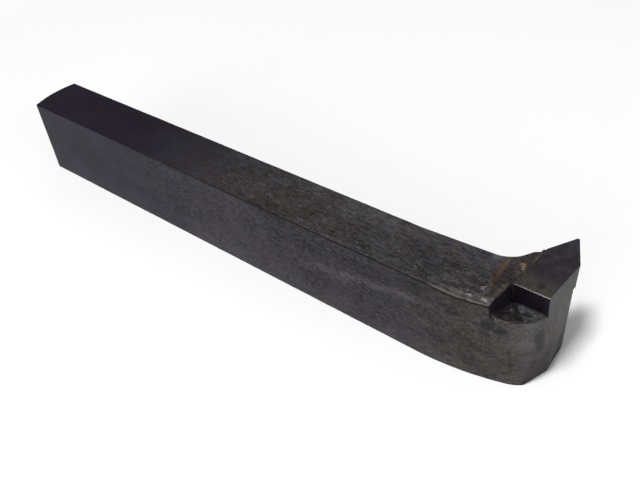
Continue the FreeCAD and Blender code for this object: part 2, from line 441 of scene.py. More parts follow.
def foot_limit(y, z):
    """X of the two faces ground at the foot: each leans back from their common corner, and out upwards."""
    corner = foot_corner_x + foot_face_slope * z
    near_face = corner - (foot_corner_y - y) * foot_near_turn
    far_face = corner - (y - foot_corner_y) * foot_far_turn
    return np.minimum(near_face, far_face)


def ground_foot(x, y, z):
    """Draws a wall point back to the ground faces, with a rounded change between wall and face."""
    return smooth_min(x, foot_limit(y, z), foot_round), y


# %% [markdown]
# ## The holder as two blocks
#
# A grid that follows the shank can't also follow the point, so the holder is two mapped blocks that meet at
# the seat wall. The first runs along the shank on sections of constant x. The second starts there, below
# the seat floor, and follows the outline: round the outer corner, up the front wall, along the front flank
# and to the nose on one side, and along the inner flank on the other. The first block's end face is open
# below the seat floor, where the second joins it.

# %% Map of the shank and neck
def back_face_x(y, z):
    """X of the sawn back end: a shallow crown across, leaning out towards the foot."""
    return back_x + back_crown * (y / far_y) ** 2 - back_lean * (1 - z / top_z)


def seat_level(x, y):
    """Height of the seat floor: flat under the plate, and a facet in its open part that climbs to the near
    side and falls to the front. Behind the seat wall the level runs out, where it only guides the grid."""
    facet = ramp_across * (tip_near_y - y) - ramp_along * np.maximum(x - seat_wall_x, 0)
    return seat_z + np.maximum(facet, 0) * smooth_step(-6, 0, x - seat_wall_x)


back_station = back_x + back_crown
back_blend = 6.0


def shank_map(x, across, up):
    """Point of the shank: up runs 0 to 1 below the seat level and 1 to 2 above it, across runs inwards."""
    seat_y, crown_y = (outer_y(x, h) + (inner_y(x, h) - outer_y(x, h)) * across for h in (seat_z, top_z))
    level = seat_level(x, seat_y)
    z = np.where(up <= 1, level * up, level + (top_at(x, crown_y) - level) * (up - 1))
    low, high = outer_y(x, z), inner_y(x, z)
    y = low + (high - low) * across
    pull = np.clip(1 - (x - back_station) / back_blend, 0, 1)
    return x + (back_face_x(y, z) - back_station) * pull, y, z


# %% Map of the head below the seat floor
def on_circle(centre_x, centre_y, radius, angle):
    """Plan point of a circle, at an angle counted from its nearest point towards the front."""
    return centre_x + radius * np.sin(angle), centre_y - radius * np.cos(angle)


def outer_path(along, z):
    """Plan point on the outer side ahead of the seat wall: 0 to 1 round the arcs, 1 to 2 up the front wall,
    2 to 3 along the front flank. Each stretch is run through evenly."""
    bend_x, bend_y, bend, corner_x, corner_y, corner, lean = outer_arcs(z)
    on_bend = seat_wall_x < bend_x + bend * math.sin(bend_turn)
    bend_start = np.arcsin(np.clip((seat_wall_x - bend_x) / bend, -1, 1))
    corner_start = np.arcsin(np.clip((seat_wall_x - corner_x) / corner, -1, 1))
    corner_start = np.where(on_bend, bend_turn, corner_start)
    bend_length = np.where(on_bend, bend * (bend_turn - bend_start), 0)
    corner_length = corner * (math.pi / 2 + lean - corner_start)
    run = np.clip(along, 0, 1) * (bend_length + corner_length)
    bend_point = on_circle(bend_x, bend_y, bend, bend_start + run / bend)
    corner_point = on_circle(corner_x, corner_y, corner, corner_start + (run - bend_length) / corner)
    x, y = np.where(run < bend_length, bend_point, corner_point)
    apex_y = sharp_y - mixed((offset_foot, front_offset_top), z) / math.sin(half_point)
    slope, wall_lean = math.tan(half_point), np.tan(lean)
    wall_x, wall_y = corner_x + corner * np.cos(lean), corner_y + corner * np.sin(lean)
    end_y = (tip_centre_x + apex_y * slope - wall_x - wall_y * wall_lean) / (slope - wall_lean)
    end_x = tip_centre_x + (apex_y - end_y) * slope
    nose_line_y = apex_y - holder_nose_flat / 2 / slope
    nose_x = tip_centre_x + holder_nose_flat / 2
    on_wall = np.clip(along - 1, 0, 1)
    on_flank = np.clip(along - 2, 0, 1)
    x = x + (end_x - wall_x) * on_wall + (nose_x - end_x) * on_flank
    y = y + (end_y - wall_y) * on_wall + (nose_line_y - end_y) * on_flank
    return ground_foot(x, y, z)


def inner_path(along, z):
    """Plan point on the inner side ahead of the seat wall: what is left of the neck's arc, then the flank."""
    apex_y, arc_x, arc_y, _, flank_start_x = inner_lines(z)
    on_arc = seat_wall_x < flank_start_x
    first = np.arcsin(np.clip((seat_wall_x - arc_x) / inner_radius, -1, 1))
    last = np.arcsin(np.clip((flank_start_x - arc_x) / inner_radius, -1, 1))
    arc_length = np.where(on_arc, inner_radius * (last - first), 0)
    start_x = np.where(on_arc, flank_start_x, seat_wall_x)
    start_y = apex_y - (tip_centre_x - start_x) / math.tan(half_point)
    front_apex_y = sharp_y - mixed((offset_foot, front_offset_top), z) / math.sin(half_point)
    end_y = front_apex_y - holder_nose_flat / 2 / math.tan(half_point)
    end_x = tip_centre_x - (apex_y - end_y) * math.tan(half_point)
    line_length = np.hypot(end_x - start_x, end_y - start_y)
    run = along / 3 * (arc_length + line_length)
    share = np.clip((run - arc_length) / line_length, 0, 1)
    arc_point = on_circle(arc_x, arc_y, inner_radius, first + run / inner_radius)
    line_point = start_x + (end_x - start_x) * share, start_y + (end_y - start_y) * share
    return tuple(np.where(run < arc_length, arc_point, line_point))


def head_map(along, across, up):
    """Point of the head below the seat floor: straight across from the outer path to the inner path."""
    outer_at, inner_at = outer_path(along, seat_z + 0 * along), inner_path(along, seat_z + 0 * along)
    plan = [o + (i - o) * across for o, i in zip(outer_at, inner_at)]
    z = seat_level(*plan) * up
    outer_at, inner_at = outer_path(along, z), inner_path(along, z)
    x = outer_at[0] + (inner_at[0] - outer_at[0]) * across
    y = outer_at[1] + (inner_at[1] - outer_at[1]) * across
    return x, y, z


# %% Skin of the holder
across = graded(44)
up_low = graded(40)
up_high = 1 + graded(17)
up_all = np.concatenate([up_low, up_high[1:]])
shank_x = np.concatenate([
    back_station + 2.0 * graded(12, 0.4),
    np.linspace(back_station + 2.0, 52.0, 226)[1:],
    np.linspace(52.0, 60.5, 40)[1:],
    np.linspace(60.5, seat_wall_x, 38)[1:],
])
head_along = np.concatenate([np.linspace(0, 1, 62), 1 + graded(30, 0.5)[1:], 2 + graded(30, 0.5)[1:]])
holder_grids = [
    face_grid(shank_map, shank_x, 0, up_all),
    face_grid(shank_map, shank_x, 1, up_all),
    face_grid(shank_map, shank_x, across, 0),
    face_grid(shank_map, shank_x, across, 2),
    face_grid(shank_map, back_station, across, up_all),
    face_grid(shank_map, seat_wall_x, across, up_high),
    face_grid(head_map, head_along, 0, up_low),
    face_grid(head_map, head_along, 1, up_low),
    face_grid(head_map, head_along, across, 0),
    face_grid(head_map, head_along, across, 1),
    face_grid(head_map, 3, across, up_low),
]
holder_mesh = skin_mesh("forged_holder", holder_grids)

# %% [markdown]
# ## Worn edges and forging scale
#
# A Bevel modifier would round every edge by the same amount. On a used tool the edges are rubbed unevenly, so
# each edge point is moved towards its neighbours a few times, by a share that the noise varies. After that
# the whole skin is pressed in along its normals by a few hundredths of a millimetre, as scale and hammer
# marks do. It only goes inwards, so the tool keeps its size.

# %% Wear the holder
holder_pairs = mesh_edges(holder_mesh)
holder_points = mesh_points(holder_mesh)
holder_crease = crease_weight(holder_mesh, holder_pairs)
edge_wear = np.clip(0.55 + 0.45 * rough_noise(holder_points, 2.2, 11), 0.1, 1)
holder_points = rub(holder_points, holder_pairs, 0.5 * holder_crease * edge_wear, 2)
set_points(holder_mesh, holder_points)

scale_depth = 0.030
grain_depth = 0.012
normals = mesh_normals(holder_mesh)
forged = 1 - smooth_step(0.6, 0.9, normals[:, 0]) * smooth_step(66, 68, holder_points[:, 0])
pressed = scale_depth * forged * (0.5 + 0.5 * rough_noise(holder_points, 3.2, 21))
pressed += grain_depth * (0.5 + 0.5 * rough_noise(holder_points * [0.6, 1, 1], 0.7, 31, 2))
holder_points = np.clip(holder_points - normals * pressed[:, None], holder_low, holder_high)
set_points(holder_mesh, holder_points)
print("pressed in by up to", pressed.max().round(3), "mm")

# %% [markdown]
# ## Marks on the steel
#
# Scale, grinding and flux leave colour where they happened. A painted image could hold that, but the mesh is
# fine enough to hold it itself. So the places are stored on the points as numbers that the material reads by
# name: what was ground, which edges are rubbed or have a dark line, what the flame smudged, where flux dried,
# and where painted shade, a painted highlight and painted glints go. Each is a plain function of place.

# %% Ground places and edges
x, y, z = holder_points.T
on_top = smooth_step(0.35, 0.75, normals[:, 2]) * smooth_step(top_z - 1.2, top_z - 0.8, z)
wall_into = hollow_wheel - np.hypot(x - hollow_x, y - hollow_y)
in_hollow = on_top * smooth_step(-0.1, 0.25, y - hollow_end_y)
hollow_share = smooth_step(0.0, 0.3, wall_into) * in_hollow
crescent_width = 0.35 + 0.75 * np.exp(-((y - 2.6) / 3.0) ** 2)
rim_share = hollow_share * (1 - smooth_step(0.7, 1.1, wall_into / crescent_width))
outer_rim = np.exp(-((wall_into - 0.12) / 0.14) ** 2) * in_hollow
strip_share = smooth_step(-1.0, -0.75, x - seat_wall_x) * (1 - smooth_step(-0.4, -0.15, x - seat_wall_x))
strip_share *= smooth_step(-2.4, -1.6, y) * (1 - smooth_step(1.2, 2.0, y)) * in_hollow
from_outer = y - outer_y(x, np.minimum(z, top_z))
bevel_share = on_top * smooth_step(-0.25, 0.35, bevel_reach(x, y) + 0.5 * rough_noise(holder_points, 1.1, 51))
bevel_share *= smooth_step(0, 2.5, x - bevel_start_x)
# A lighter strip along the top's outer edge: worn metal, with a painted highlight where the rounded edge
# meets the light, growing towards the head.
edge_light = on_top * (1 - smooth_step(0.2, 0.5, from_outer)) * smooth_step(15, 50, x)
edge_light *= 0.35 + 0.65 * smooth_step(-4, 2, x - bevel_start_x)
under_top = top_at(x, y) - z
line_share = (1 - smooth_step(0.26, 0.46, under_top)) * (1 - smooth_step(0.04, 0.2, from_outer))
line_share *= smooth_step(-40, 18, x) * (x < seat_wall_x + 0.1)
far_line = on_top * smooth_step(-0.22, -0.02, y - inner_y(x, top_z)) * smooth_step(10, 24, x)
seat_wall_share = smooth_step(0.4, 0.8, normals[:, 0]) * smooth_step(-0.15, 0.0, x - seat_wall_x)
seat_wall_share *= (1 - smooth_step(0.1, 0.3, x - seat_wall_x)) * smooth_step(-0.3, 0.1, z - seat_z)
front_share = smooth_step(0.35, 0.85, normals[:, 0]) * smooth_step(66, 68, x)
# Painted shade on the two ground faces at the foot, strongest near the floor.
painted_foot_shade = (1 - smooth_step(0.06, 0.34, foot_limit(y, z) - x)) * smooth_step(0.3, 0.6, normals[:, 0])
painted_foot_shade *= (1 - smooth_step(4.0, 5.5, z)) * (0.75 + 0.25 * (1 - smooth_step(0.5, 3.0, z)))


# %% Stains
def spot(points, centre, size):
    """1 at the centre of a stain and 0 outside it: a bell of distance, its rim broken by noise."""
    away = np.linalg.norm((points - centre) / size, axis=1) + 0.35 * rough_noise(points, 0.9, 61)
    return 1 - smooth_step(0.55, 1.1, away)


def largest(points, stains):
    """The strongest of several stains at each point, each with a centre, a size and a strength."""
    return np.max([strength * spot(points, centre, size) for centre, size, strength in stains], axis=0)


# Each stain: its centre and its size in x, y and z, then its strength
soot = [
    ((64.7, -4.2, 11.9), (1.5, 2.0, 1.2), 1.0),
    ((66.7, -3.6, 11.1), (1.3, 2.0, 0.9), 0.9),
    ((60.0, -4.8, 12.6), (2.0, 1.5, 0.7), 0.4),
    ((65.0, -4.2, 5.5), (1.6, 1.5, 0.9), 0.35),
    ((70.9, 0.5, 8.2), (1.5, 1.1, 2.4), 0.65),
    ((51.5, -5.0, 14.4), (3.6, 1.5, 1.4), 0.5),
    ((65.3, -3.9, 12.7), (0.8, 0.9, 0.9), 0.9),
    ((58.9, 4.9, 16.0), (1.3, 0.8, 0.9), 0.8),
    ((53.4, -1.5, 16.0), (1.7, 1.2, 0.9), 0.55),
    ((56.0, -5.0, 6.0), (2.4, 1.5, 1.2), 0.5),
    ((61.5, -4.6, 3.0), (1.8, 1.5, 1.4), 0.4),
]
scraped = [
    ((60.5, 5.6, 16.0), (1.5, 0.9, 0.9), 0.9),
    ((70.6, -0.4, 11.0), (0.8, 0.7, 1.6), 0.35),
]
# Worn bright spots on the top by the bevel: polished metal with painted glints.
shiny = [
    ((62.5, -1.2, 15.9), (0.40, 0.42, 0.9), 1.0),
    ((64.0, -3.1, 15.7), (0.70, 0.40, 0.9), 1.0),
    ((61.7, -3.5, 15.7), (0.55, 0.24, 0.9), 0.9),
    ((60.3, -3.8, 15.8), (0.45, 0.20, 0.9), 0.9),
    ((61.0, -2.7, 15.8), (0.30, 0.25, 0.9), 0.8),
    ((63.4, -2.1, 15.8), (0.35, 0.28, 0.9), 0.8),
]
flux = [
    ((69.0, -2.0, 11.0), (1.3, 1.0, 0.9), 1.0),
    ((70.4, 0.0, 10.2), (0.5, 0.6, 0.5), 0.7),
    ((66.0, -4.0, 10.2), (0.8, 1.0, 0.5), 0.6),
]

flux_line = 0.6 * np.exp(-((seat_z - 0.5 - z) / 0.11) ** 2) * front_share * smooth_step(2.5, 4.0, y)

# %% Store the marks
holder_marks = {
    "top": on_top,
    "line": np.maximum(line_share, 0.45 * far_line),
    "edge_light": edge_light,
    "bevel": bevel_share,
    "hollow": hollow_share,
    "hollow_wall": rim_share,
    "hollow_rim": np.maximum(0.5 * outer_rim, strip_share),
    "seat_wall": seat_wall_share,
    "front": front_share,
    "sawn": smooth_step(0.6, 0.9, -normals[:, 0]),
    "foot": painted_foot_shade,
    "soot": largest(holder_points, soot),
    "scraped": largest(holder_points, scraped) * on_top,
    "shiny": largest(holder_points, shiny) * on_top,
    "flux": np.maximum(largest(holder_points, flux), flux_line),
}
for name, values in holder_marks.items():
    paint_value(holder_mesh, name, values)
print("marks stored:", sorted(holder_marks))

# %% [markdown]
# ## The hard-metal plate
#
# The plate is a small prism whose square end stands in the open seat. Ahead of its two shoulders the flanks
# run to the point at 60 degrees, and every flank leans in below the cutting edge. One map gives it: at each
# height the apex lies a little further back, and the left and right sides are the nearer of a straight wall
# and a flank line.

# %% Map of the plate
tip_edge_break = 0.12


def tip_map(along, across, up):
    """Point of the plate: along is 1 and 2 at the two shoulders, 3 at the nose, and across runs in x."""
    slope = math.tan(half_point)
    end_gap = np.where(along < 1, along * (sharp_y - tip_near_y) * 0.6, 1)
    highest = top_z - np.maximum(tip_edge_break - end_gap, 0)
    z = tip_base_z + (highest - tip_base_z) * up
    drop = top_z - z
    apex_y = sharp_y - drop * tip_flank_relief / math.sin(half_point)
    wall_x = front_x - drop * tip_front_relief
    front_shoulder = apex_y - (wall_x - tip_centre_x) / slope
    back_shoulder = apex_y - sharp_y + shoulder_y
    nose_line_y = apex_y - nose_flat / 2 / slope
    tip_y = tip_near_y + (front_shoulder - tip_near_y) * np.clip(along, 0, 1)
    tip_y = tip_y + (back_shoulder - front_shoulder) * np.clip(along - 1, 0, 1)
    tip_y = tip_y + (nose_line_y - back_shoulder) * np.clip(along - 2, 0, 1)
    right = np.minimum(wall_x, tip_centre_x + (apex_y - tip_y) * slope)
    left = np.maximum(tip_back_x, tip_centre_x - (apex_y - tip_y) * slope)
    return left + (right - left) * across, tip_y, z


tip_along = np.concatenate([graded(70), 1 + np.linspace(0, 1, 4)[1:], 2 + graded(44)[1:]])
tip_across = graded(44)
tip_up = graded(32)
tip_mesh = skin_mesh("ground_plate", six_faces(tip_map, tip_along, tip_across, tip_up))
tip_pairs = mesh_edges(tip_mesh)
tip_points = mesh_points(tip_mesh)
tip_crease = crease_weight(tip_mesh, tip_pairs, steps=1)
tip_wear = 0.5 * tip_crease * np.clip(0.5 + 0.5 * rough_noise(tip_points, 0.8, 71), 0.05, 1)
tip_points = rub(tip_points, tip_pairs, tip_wear, 2)
set_points(tip_mesh, np.clip(tip_points, tip_low, tip_high))
tip_normals = mesh_normals(tip_mesh)
end_break = smooth_step(0.05, 0.08, tip_edge_break + 0.02 - (tip_points[:, 1] - tip_near_y))
end_break *= smooth_step(top_z - 0.16, top_z - 0.11, tip_points[:, 2])
plate_stains = [
    ((69.2, 3.2, 16.0), (0.55, 0.75, 0.9), 0.95),
    ((67.2, 6.6, 16.0), (1.6, 0.9, 0.9), 0.55),
    ((70.2, 7.2, 16.0), (0.9, 0.5, 0.9), 0.5),
]
tip_marks = {
    "edge": spread(tip_crease, tip_pairs, 0.7),
    "end_break": end_break,
    "top": smooth_step(0.5, 0.9, tip_normals[:, 2]),
    "square_end": smooth_step(0.5, 0.9, -tip_normals[:, 1]) * (tip_points[:, 1] < tip_near_y + 0.4),
    "stain": largest(tip_points, plate_stains),
}
for name, values in tip_marks.items():
    paint_value(tip_mesh, name, values)

# %% [markdown]
# ## The brazing metal
#
# Brazing metal ran under the plate, up behind it and out over the open floor, where it froze in drops. Three
# pads stand for it, each a block whose top is a height over the plan. The open floor's pad is a thin film
# that climbs against the plate. The pad behind the plate fills the gap and carries lumps. The third follows
# the rim of the joint round the point, as a narrow fillet between the plate's foot and the steel.

# %% Film on the open floor
def blob(x, y, centre_x, centre_y, size, height):
    """A round drop: a bell of distance from its centre, in plan."""
    away = ((x - centre_x) ** 2 + (y - centre_y) ** 2) / size ** 2
    return height * np.exp(-away)


climb_across = 0.4
climb_along = 0.95

# Each drop: its centre in x and y, its size and its height
film_drops = [(66.35, -0.1, 0.36, 0.34), (69.5, 1.0, 0.14, 0.2), (67.6, 0.6, 0.4, 0.12)]


def film_at(x, y):
    """Thickness of the film: a thin crust that climbs the seat wall and the plate, with drops on it."""
    plan = np.stack([x, y, x * 0], axis=-1)
    crust = 0.09 + 0.10 * rough_noise(plan, 0.9, 81) + 0.05 * rough_noise(plan, 0.3, 82, 2)
    climbing = 0.28 + 0.2 * rough_noise(plan, 1.1, 83, 2)
    at_plate = climbing * np.exp(-np.maximum(tip_near_y - y, 0) / 0.2) * smooth_step(65.3, 66.8, x)
    drops = sum(blob(x, y, *drop) for drop in film_drops)
    from_rim = y - outer_y(x, seat_level(x, y))
    climb = seat_z + climb_across * (tip_near_y - y) - climb_along * (x - seat_wall_x) - seat_level(x, y)
    crust = -smooth_min(-np.maximum(crust, 0.03), -climb * (1 + 0.25 * crust), 0.25)
    return (crust + drops) * smooth_step(-0.02, 0.3, from_rim) + at_plate - 0.01


def film_map(along, across, up):
    """Point of the film: along the open floor in x, across from the outer rim to the plate's end."""
    _, _, _, corner_x, corner_y, corner, _ = outer_arcs(seat_z)
    last_x = corner_x + math.sqrt(corner ** 2 - (tip_near_y - corner_y) ** 2)
    x = seat_wall_x - 0.03 + (last_x - seat_wall_x) * along
    rim = outer_y(x, seat_level(x, outer_y(x, seat_z)))
    y = rim + 0.015 + (tip_near_y + 0.03 - rim) * across
    return x, y, seat_level(x, y) - 0.08 + (film_at(x, y) + 0.08) * up


film_grids = six_faces(film_map, np.linspace(0, 1, 60), graded(60, 0.3), [0, 0.5, 1])

# %% Gap behind the plate, with its lumps
run_out_lumps = [
    (-0.35, 2.3, -0.2, 1.0),
    (-0.5, 4.2, -0.15, 1.2),
    (-0.1, 7.2, -0.25, 0.9),
]
gap_from_x = seat_wall_x - 1.5
gap_to_x = tip_back_x + 0.05
gap_recess = 0.22


def gap_top(x, y):
    """Height of the metal behind the plate: the sagging seam in the gap, or a lump's round cap over it."""
    plan = np.stack([x, y, x * 0], axis=-1)
    rough = 0.05 * rough_noise(plan, 0.6, 91, 3)
    behind = smooth_step(-0.15, 0.05, x - seat_wall_x)
    low = top_z - hollow_depth - 0.12
    height = low + (top_z - gap_recess - low) * behind + rough * (0.4 + behind)
    for lump_x, lump_y, lump_top, radius in run_out_lumps:
        away = ((x - seat_wall_x - lump_x) / radius) ** 2 + ((y - tip_near_y - lump_y) / radius) ** 2
        cap = top_z + lump_top - radius + radius * np.sqrt(np.maximum(1 - away, 0)) + 2 * rough
        height = -smooth_min(-height, -np.where(away < 1, cap, 0), 0.12)
    return height


def gap_map(along, across, up):
    """Point of the metal behind the plate: along the plate's back in y, across from the hollow to it."""
    y = tip_near_y - 0.04 + (shoulder_y - tip_near_y) * along
    flank = tip_centre_x - (inner_lines(top_z)[0] - y) * math.tan(half_point)
    bulge = 0.3 * np.exp(-((y - 8.9) / 0.7) ** 2)
    first_x = np.maximum(gap_from_x, flank + 0.05 - bulge)
    x = first_x + (gap_to_x - first_x) * across
    top = np.minimum(gap_top(x, y), top_z - 0.02)
    in_gap = smooth_step(-0.1, 0, x - seat_wall_x)
    low = top_z - hollow_depth - 0.25 + (tip_base_z - top_z + hollow_depth + 0.2) * in_gap
    return x, y, low + (top - low) * up


gap_grids = six_faces(gap_map, *(np.linspace(0, 1, count) for count in (110, 34, 14)))

# %% Fillet round the foot of the plate
def seam_map(along, across, up):
    """Point of the joint's rim: lengthways from the open seat to the nose, across from the inner flank to the
    outer side, upwards from the steel to the plate's foot, bulging a little and wandering with the noise."""
    x, y, _ = tip_map(along, across, 0 * up)
    side = 2 * across - 1
    at = np.stack([x, y, up * 0.3], axis=-1)
    proud = 0.035 * np.sin(math.pi * up) * (0.8 + 0.6 * rough_noise(at, 0.7, 95, 3))
    draw_in = 0.2 * np.maximum(1 - up / 0.45, 0) ** 1.2
    x = x + side * (proud - draw_in)
    z = seat_z - 0.12 + (tip_base_z - seat_z + 0.14) * up
    return x, y - 0.25 * (1 - up) * smooth_step(2, 3, along), z


seam_grids = six_faces(seam_map, tip_along, graded(16), np.linspace(0, 1, 9))
braze_mesh = skin_mesh("brazing_metal", film_grids + gap_grids + seam_grids)

# %% Marks on the brazing metal
braze_points = mesh_points(braze_mesh)
x, y, z = braze_points.T
behind_plate = smooth_step(14.2, 14.8, z) * smooth_step(tip_near_y - 0.2, tip_near_y + 0.2, y)
copper_places = [(64.40, 6.0, 0.42, 1.4), (64.84, 4.8, 0.45, 1.1), (64.3, 8.8, 0.3, 0.5)]
copper_spots = sum(blob(x, y, *place) for place in copper_places)
copper_trail = np.exp(-((x - 64.75) / 0.35) ** 2) * smooth_step(3.6, 4.2, y) * (1 - smooth_step(6.2, 6.8, y))
speckle = rough_noise(braze_points, 0.4, 97, 3)
copper = np.maximum(copper_spots - 0.15, 0.45 * copper_trail) + 0.45 * speckle
copper = np.clip(copper, 0, 1) * behind_plate * smooth_step(0.1, 0.35, copper_spots + copper_trail)
olive_seam = np.exp(-((x - 64.85 - 0.248 * (y - 6.5)) / 0.33) ** 2) * behind_plate
olive_seam *= smooth_step(5.8, 6.6, y) * (1 - smooth_step(9.6, 10.2, y))
under_plate = smooth_step(0.1, 0.3, y - tip_near_y) * (1 - smooth_step(0.3, 0.6, z - seat_z))
past_line = (x - 65.9) + 1.05 * (y - tip_near_y) + 0.25 * rough_noise(braze_points, 1.2, 98)
clean_share = smooth_step(-0.15, 0.15, past_line) * (1 - smooth_step(-0.12, 0, y - tip_near_y))
film_rim = 1 - smooth_step(0.12, 0.4, y - outer_y(x, z))
film_rim *= (y < tip_near_y) * (z < seat_z + 2)
by_wall = 1 - smooth_step(65.3, 65.9, x + 0.25 * np.maximum(y + 1.0, 0))
in_corner = np.maximum(by_wall, smooth_step(1.3, 1.6, y)) * (y < tip_near_y + 0.2) * (z < 15.8)
braze_marks = {
    "copper": copper,
    "olive": olive_seam,
    "brass": under_plate,
    "gap": behind_plate,
    "clean": clean_share,
    "rim": film_rim,
    "corner": in_corner,
    "ball": np.exp(-((x - 66.4) ** 2 + (y + 0.1) ** 2) / 0.3 ** 2) * (y < 1),
}
for name, values in braze_marks.items():
    paint_value(braze_mesh, name, values)

# %% [markdown]
# ## Finishes written as sums
#
# A material is easier to read as a formula than as boxes and wires. One small class wraps a socket of the
# node tree. Adding or multiplying two wrapped sockets adds the Math node that does it, so that
# 1 - mask works as it looks. Everything else, from noise to colour ramps, comes from one method that takes a
# node's type, its settings and what goes into its sockets.

# %% Wrapped sockets
class Wire:
    """A socket that carries a number, with the arithmetic of numbers."""

    def __init__(self, finish, socket):
        self.finish = finish
        self.socket = socket

    def maths(self, operation, *others):
        """A Math node on this socket and others."""
        return self.finish.node("ShaderNodeMath", {"operation": operation}, dict(enumerate([self, *others])))

    def __add__(self, other):
        return self.maths("ADD", other)

    def __mul__(self, other):
        return self.maths("MULTIPLY", other)

    def __sub__(self, other):
        return self.maths("SUBTRACT", other)

    def __rsub__(self, other):
        return self * -1 + other

    __radd__ = __add__
    __rmul__ = __mul__

    def above(self, low, high):
        """0 below low, 1 above high, a smooth rise between."""
        return self.finish.node("ShaderNodeMapRange", {"interpolation_type": "SMOOTHSTEP"},
                                {0: self, 1: low, 2: high})

    def larger(self, other):
        """The larger of the two."""
        return self.maths("MAXIMUM", other)


def uneven(level, *parts):
    """A tone round a level: each noise adds its difference from one half, times its strength."""
    for noise, strength in parts:
        level = (noise - 0.5) * strength + level
    return level


class Finish:
    """A material or a world whose node tree is written as expressions."""

    def __init__(self, owner):
        self.owner = owner
        self.owner.use_nodes = True
        self.tree = self.owner.node_tree
        self.tree.nodes.clear()
        if isinstance(owner, bpy.types.Material):
            self.place = self.node("ShaderNodeTexCoord", output="Object")

    def node(self, kind, settings=None, sockets=None, output=0):
        """Adds a node: its settings first, then a value or a wire for each socket, named or numbered."""
        made = self.tree.nodes.new(kind)
        for name, value in (settings or {}).items():
            if name == "stops":
                while len(made.color_ramp.elements) < len(value):
                    made.color_ramp.elements.new(1)
                for element, (position, colour) in zip(made.color_ramp.elements, value):
                    element.position, element.color = position, (*colour, 1)
            else:
                setattr(made, name, value)
        for key, value in (sockets or {}).items():
            if isinstance(value, Wire):
                self.tree.links.new(value.socket, made.inputs[key])
            else:
                made.inputs[key].default_value = value
        return Wire(self, made.outputs[output]) if len(made.outputs) else None

    def marks(self, *names):
        """Numbers that the mesh stores on its points, by their names."""
        return [self.node("ShaderNodeAttribute", {"attribute_name": name}, output="Fac") for name in names]

    def stretched(self, scale, turn=(0, 0, 0)):
        """Object coordinates scaled and turned, so that a pattern is drawn out along a direction."""
        return self.node("ShaderNodeMapping", {"vector_type": "TEXTURE"},
                         {"Vector": self.place, "Scale": scale, "Rotation": turn})

    def axis(self, name):
        """One of the three Object coordinates, in millimetres."""
        return self.node("ShaderNodeSeparateXYZ", None, {0: self.place}, output=name) * (1 / MM)

    def noise(self, size, detail=3.0, rough=0.55, place=None, twist=0.0):
        """Noise with lumps of that size in millimetres, from 0 to 1."""
        return self.node("ShaderNodeTexNoise", None, {
            "Vector": place or self.place, "Scale": 1 / (size * MM),
            "Detail": detail, "Roughness": rough, "Distortion": twist,
        })

    def blend(self, factor, a, b):
        """Colour a where factor is 0 and colour b where it is 1."""
        a, b = (c if isinstance(c, Wire) else (*c, 1) for c in (a, b))
        return self.node("ShaderNodeMix", {"data_type": "RGBA"}, {0: factor, 6: a, 7: b}, output=2)

    def tint(self, factor, colour, tint):
        """Colour multiplied by a tint, by a share."""
        colour, tint = (c if isinstance(c, Wire) else (*c, 1) for c in (colour, tint))
        return self.node("ShaderNodeMix", {"data_type": "RGBA", "blend_type": "MULTIPLY"},
                         {0: factor, 6: colour, 7: tint}, output=2)

    def ramp(self, factor, stops):
        """Colour that runs through the stops as the factor grows."""
        return self.node("ShaderNodeValToRGB", {"stops": stops}, {0: factor})

    def bump(self, height, depth, under=None):
        """Normal of a relief whose full height is depth millimetres."""
        sockets = {"Height": height, "Distance": depth * MM, "Strength": 1.0}
        if under is not None:
            sockets["Normal"] = under
        return self.node("ShaderNodeBump", None, sockets)

    def surface(self, **sockets):
        """Closes the material with one Principled shader."""
        names = {name.replace("_", " "): value for name, value in sockets.items()}
        shader = self.node("ShaderNodeBsdfPrincipled", None, names)
        self.node("ShaderNodeOutputMaterial", None, {"Surface": shader})
        return self.owner
